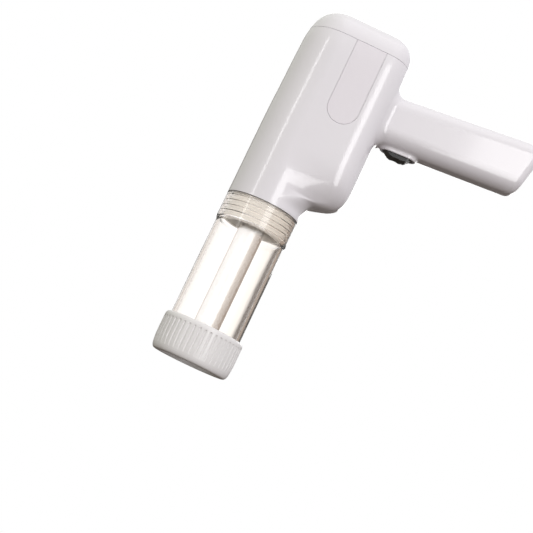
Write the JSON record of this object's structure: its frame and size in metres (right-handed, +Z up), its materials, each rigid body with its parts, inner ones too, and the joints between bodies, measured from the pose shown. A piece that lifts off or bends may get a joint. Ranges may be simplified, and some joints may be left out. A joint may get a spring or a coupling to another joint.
{
  "type": "hand-held dough press",
  "caption": "Cordless pistol-grip press with a clear screw-on barrel, a motor-driven piston and a ribbed screw cap that holds a pressing die.",
  "frame": {"origin": "centre of the nozzle mouth, on the lowest face of the screw cap", "axes": "+Z up the barrel axis from the mouth to the top cover, +X from that axis towards the handle, +Y towards the right half of the housing"},
  "size_m": [0.2391, 0.072, 0.3396],
  "materials": {
    "white_shell": "glossy moulded white plastic",
    "pearl_inlay": "satin pearl-grey plastic",
    "white_moulded": "moulded white plastic",
    "ring_plastic": "moulded warm grey plastic",
    "cap_plastic": "satin grey-white plastic",
    "clear_barrel": "clear moulded, water-clear with a warm edge tint",
    "dark_rubber": "dark elastomer",
    "steel": "plain steel",
    "steel_dark": "dark steel",
    "rod_metal": "white anodised",
    "plate_aluminium": "sheet",
    "brass": "turned brass",
    "gear_plastic": "natural acetal",
    "black_moulded": "black moulded",
    "magnet": "sintered ferrite",
    "board_green": "laminate",
    "cell_wrap": "shrink-wrapped cell",
    "trigger_black": "black, softly polished",
    "wire_red": "insulated wire",
    "wire_black": "insulated wire"
  },
  "bodies": {
    "housing": {"housing_left": "white_shell", "housing_right": "white_shell", "top_cover": "white_shell", "side_inlay_left": "pearl_inlay", "side_inlay_right": "pearl_inlay", "thread_ring": "ring_plastic", "rod_guide": "white_moulded", "lower_gear_plate": "steel", "upper_gear_plate": "plate_aluminium", "gear_posts": "steel", "gear_plate_screws": "steel", "thrust_washer": "steel", "lower_bush": "brass", "upper_bush": "brass", "idler_pin": "steel", "gearbox_housing": "black_moulded", "gearbox_screws": "steel", "motor_can": "steel", "motor_magnets": "magnet", "motor_end_cap": "black_moulded", "motor_terminals": "brass", "control_board": "board_green", "board_components": "black_moulded", "limit_switches": "black_moulded", "battery_cells": "cell_wrap", "battery_holder": "black_moulded", "charging_board": "board_green", "charging_socket": "steel", "trigger_pin": "steel", "forward_switch": "black_moulded", "reverse_switch": "black_moulded", "switch_bracket": "white_moulded", "housing_screws": "steel", "power_wires": "wire_red", "switch_wires": "wire_black", "motor_wires": "wire_red"},
    "motor_shaft": {"motor_rotor": "steel_dark", "sun_gear": "brass"},
    "gearbox_output": {"output_shaft": "steel_dark", "pinion": "gear_plastic"},
    "planet_1": {"planet_gear_1": "gear_plastic"},
    "planet_2": {"planet_gear_2": "gear_plastic"},
    "planet_3": {"planet_gear_3": "gear_plastic"},
    "idler": {"idler_gear": "gear_plastic"},
    "screw": {"lead_screw": "steel", "screw_gear": "gear_plastic", "retaining_ring": "steel"},
    "piston": {"push_rod": "rod_metal", "drive_nut": "brass", "piston_head": "white_moulded", "piston_seal": "dark_rubber", "piston_pin": "steel"},
    "rocker": {"trigger": "trigger_black"},
    "barrel_lift": {"barrel_seal": "dark_rubber"},
    "barrel_body": {"barrel": "clear_barrel"},
    "die_set": {"die_disc": "steel", "die_gasket": "dark_rubber"},
    "cap": {"nozzle_cap": "cap_plastic"}
  },
  "joints": [
    {"name": "motor_spin", "type": "hinge", "parent": "housing", "child": "motor_shaft", "pos_m": [0.042, 0, 0.22], "axis": [0, 0, -1], "range_deg": [-1, 122143.86]},
    {"name": "output_spin", "type": "hinge", "parent": "housing", "child": "gearbox_output", "pos_m": [0.042, 0, 0.28], "axis": [0, 0, -1], "range_deg": [-1, 24429.57]},
    {"name": "planet_1_spin", "type": "hinge", "parent": "gearbox_output", "child": "planet_1", "pos_m": [0.051, 0, 0.255], "axis": [0, 0, -1], "range_deg": [-65143.85, 1]},
    {"name": "planet_2_spin", "type": "hinge", "parent": "gearbox_output", "child": "planet_2", "pos_m": [0.0375, 0.00779, 0.255], "axis": [0, 0, -1], "range_deg": [-65143.85, 1]},
    {"name": "planet_3_spin", "type": "hinge", "parent": "gearbox_output", "child": "planet_3", "pos_m": [0.0375, -0.00779, 0.255], "axis": [0, 0, -1], "range_deg": [-65143.85, 1]},
    {"name": "idler_spin", "type": "hinge", "parent": "housing", "child": "idler", "pos_m": [0.027, 0, 0.305], "axis": [0, 0, -1], "range_deg": [-21376, 1]},
    {"name": "screw_spin", "type": "hinge", "parent": "housing", "child": "screw", "pos_m": [0, 0, 0.3], "axis": [0, 0, -1], "range_deg": [-1, 9001]},
    {"name": "piston_slide", "type": "slide", "parent": "housing", "child": "piston", "axis": [0, 0, 1], "range_m": [0, 0.1]},
    {"name": "trigger_rock", "type": "hinge", "parent": "housing", "child": "rocker", "pos_m": [0.087, 0, 0.2495], "axis": [0, 1, 0], "range_deg": [-6, 6], "stiffness_Nm_per_rad": 0.45},
    {"name": "barrel_unscrew", "type": "slide", "parent": "housing", "child": "barrel_lift", "axis": [0, 0, -1], "range_m": [0, 0.026]},
    {"name": "barrel_turn", "type": "hinge", "parent": "barrel_lift", "child": "barrel_body", "pos_m": [0, 0, 0.13], "axis": [0, 0, -1], "range_deg": [-1, 1951]},
    {"name": "cap_unscrew", "type": "slide", "parent": "barrel_body", "child": "die_set", "axis": [0, 0, -1], "range_m": [0, 0.026]},
    {"name": "cap_turn", "type": "hinge", "parent": "die_set", "child": "cap", "pos_m": [0, 0, 0.015], "axis": [0, 0, -1], "range_deg": [-1, 1951]}
  ],
  "couplings": [
    {"joint": "screw_spin", "follows": "piston_slide", "rad_per_m": 1570.8},
    {"joint": "idler_spin", "follows": "piston_slide", "rad_per_m": -3730.6},
    {"joint": "motor_spin", "follows": "piston_slide", "rad_per_m": 21318},
    {"joint": "output_spin", "follows": "piston_slide", "rad_per_m": 4263.6},
    {"joint": "planet_1_spin", "follows": "piston_slide", "rad_per_m": -11370},
    {"joint": "planet_2_spin", "follows": "piston_slide", "rad_per_m": -11370},
    {"joint": "planet_3_spin", "follows": "piston_slide", "rad_per_m": -11370},
    {"joint": "barrel_turn", "follows": "barrel_unscrew", "rad_per_m": 1309},
    {"joint": "cap_turn", "follows": "cap_unscrew", "rad_per_m": 1309}
  ]
}
